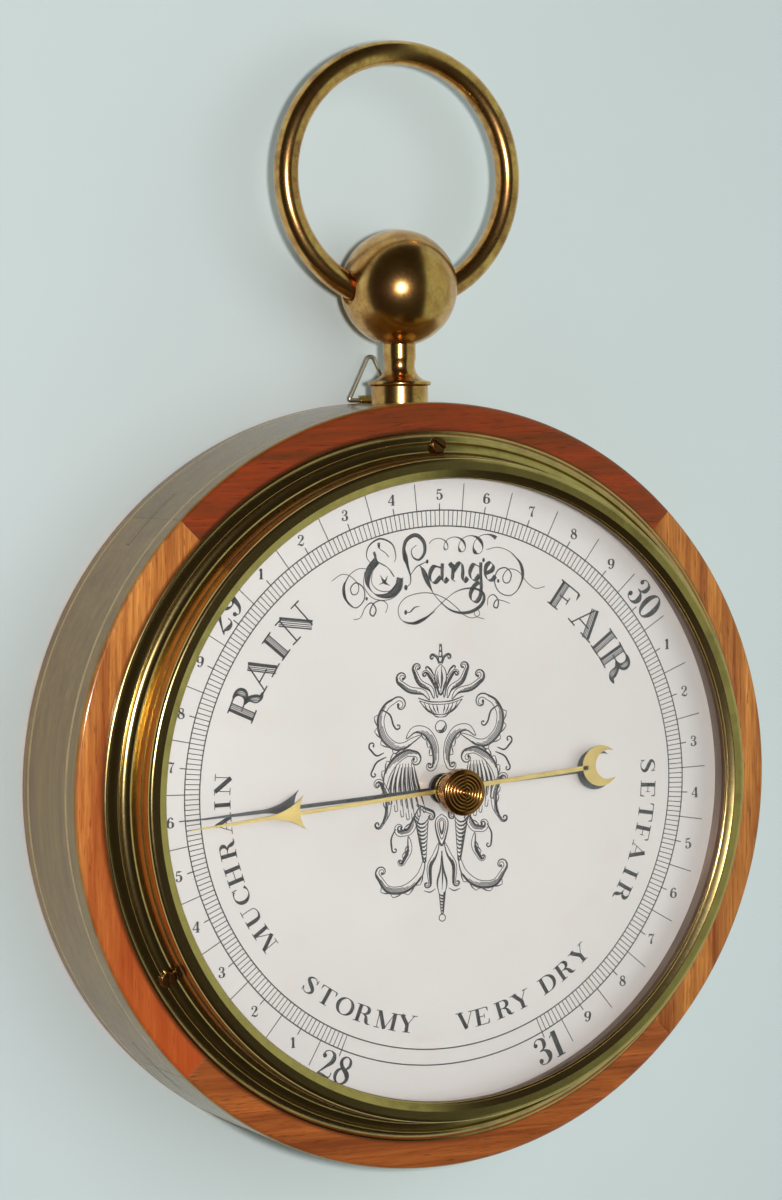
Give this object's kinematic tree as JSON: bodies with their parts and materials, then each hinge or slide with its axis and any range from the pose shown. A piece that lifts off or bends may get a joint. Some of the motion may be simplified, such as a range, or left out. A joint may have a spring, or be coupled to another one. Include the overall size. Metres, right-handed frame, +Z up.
{
  "type": "aneroid wall barometer",
  "caption": "Round wall aneroid barometer in a jointed hardwood drum, with brass bezel, set hand and a watch-style pendant and bow.",
  "frame": {"origin": "centre of the drum's back face, on the wall", "axes": "+X to the right for someone who faces the dial, +Y into the wall, +Z up through the pendant"},
  "size_m": [0.25, 0.0699, 0.3698],
  "materials": {
    "teak_reddish": "satin varnish, reddish",
    "teak": "satin varnish",
    "spline_wood": "satin varnish",
    "pale_inlay": "satin varnish",
    "panel_wood": "oiled",
    "polished_brass": "polished, lightly aged",
    "aged_brass": "aged",
    "silvered_metal": "silvered, matt",
    "black_steel": "blackened",
    "clear_glass": "clear",
    "movement_brass": "brushed",
    "movement_steel": "brushed",
    "nickel_silver": "satin"
  },
  "bodies": {
    "case": {"case_segment_top": "teak_reddish", "case_segment_right": "teak", "case_segment_bottom": "teak", "case_segment_left": "teak", "case_splines": "spline_wood", "inlay_front": "pale_inlay", "inlay_rear": "pale_inlay", "back_panel": "panel_wood", "back_panel_screws": "aged_brass", "hanger_strap": "aged_brass", "hanger_screws": "aged_brass", "bezel": "polished_brass", "bezel_screws": "aged_brass", "dial_seat_ring": "aged_brass", "dial": "silvered_metal", "sight_ring": "silvered_metal", "glass": "clear_glass", "glass_bush": "polished_brass", "bush_nut": "aged_brass", "pendant_foot": "polished_brass", "pendant_neck": "polished_brass", "pendant_ball": "polished_brass", "pendant_stud": "aged_brass", "pendant_washer": "aged_brass", "pendant_nut": "aged_brass", "base_plate": "movement_brass", "plate_screws": "movement_steel", "pillars": "movement_brass", "top_plate": "movement_brass", "top_plate_screws": "movement_steel", "spindle_cock": "movement_brass", "hairspring": "movement_steel", "hairspring_stud": "movement_brass", "shaft_bearings": "movement_brass", "mainspring": "movement_steel", "spring_bridge": "movement_steel", "bridge_screws": "movement_steel", "vacuum_capsule": "nickel_silver", "chain": "movement_steel", "adjuster_bush": "movement_brass"},
    "pointer": {"pointer_spindle": "movement_steel", "indicator_hand": "black_steel"},
    "set_hand": {"set_hand": "aged_brass", "set_knob": "polished_brass"},
    "rocking_shaft": {"rocking_shaft": "movement_steel"},
    "connecting_link": {"connecting_link": "movement_steel"},
    "main_lever": {"main_lever": "movement_steel"},
    "capsule_post": {"capsule_post": "movement_steel"},
    "bow": {"bow": "polished_brass"},
    "hanger": {"hanger_wire": "aged_brass"},
    "adjusting_screw": {"adjusting_screw": "movement_brass"}
  },
  "joints": [
    {"name": "pointer_turn", "type": "hinge", "parent": "case", "child": "pointer", "pos_m": [0, -0.0528, 0], "axis": [0, 1, 0], "range_deg": [-62.46, 249.84], "stiffness_Nm_per_rad": 0.02, "springref_deg": 0.4, "deforming": ["hairspring", "chain"]},
    {"name": "rocking_shaft_turn", "type": "hinge", "parent": "case", "child": "rocking_shaft", "pos_m": [0.02, -0.0434, 0], "axis": [0, 0, 1], "range_deg": [-21.6, 5.5]},
    {"name": "connecting_link_slide", "type": "slide", "parent": "case", "child": "connecting_link", "axis": [0, 1, 0], "range_m": [-0.0003, 0.00115]},
    {"name": "main_lever_turn", "type": "hinge", "parent": "case", "child": "main_lever", "pos_m": [0.0095, -0.0258, -0.046], "axis": [1, 0, 0], "range_deg": [-0.95, 0.25], "deforming": ["mainspring"]},
    {"name": "capsule_post_slide", "type": "slide", "parent": "case", "child": "capsule_post", "axis": [0, 1, 0], "range_m": [-0.00014, 0.00053], "deforming": ["vacuum_capsule"]},
    {"name": "set_hand_turn", "type": "hinge", "parent": "case", "child": "set_hand", "pos_m": [0, -0.064, 0], "axis": [0, 1, 0], "continuous": true},
    {"name": "bow_pivot", "type": "hinge", "parent": "case", "child": "bow", "pos_m": [0, -0.02375, 0.1626], "axis": [1, 0, 0], "range_deg": [-12, 130]},
    {"name": "hanger_pivot", "type": "hinge", "parent": "case", "child": "hanger", "pos_m": [0, -0.0017, 0.1259], "axis": [1, 0, 0], "range_deg": [-85, 50]},
    {"name": "adjusting_screw_turn", "type": "hinge", "parent": "case", "child": "adjusting_screw", "pos_m": [0, -0.005, -0.014], "axis": [0, 1, 0], "range_deg": [-180, 180]}
  ],
  "couplings": [
    {"joint": "rocking_shaft_turn", "follows": "pointer_turn", "ratio": -0.077311},
    {"joint": "connecting_link_slide", "follows": "pointer_turn", "m_per_rad": 0.0002302},
    {"joint": "main_lever_turn", "follows": "pointer_turn", "ratio": -0.0032886},
    {"joint": "capsule_post_slide", "follows": "pointer_turn", "m_per_rad": 0.00010524}
  ]
}
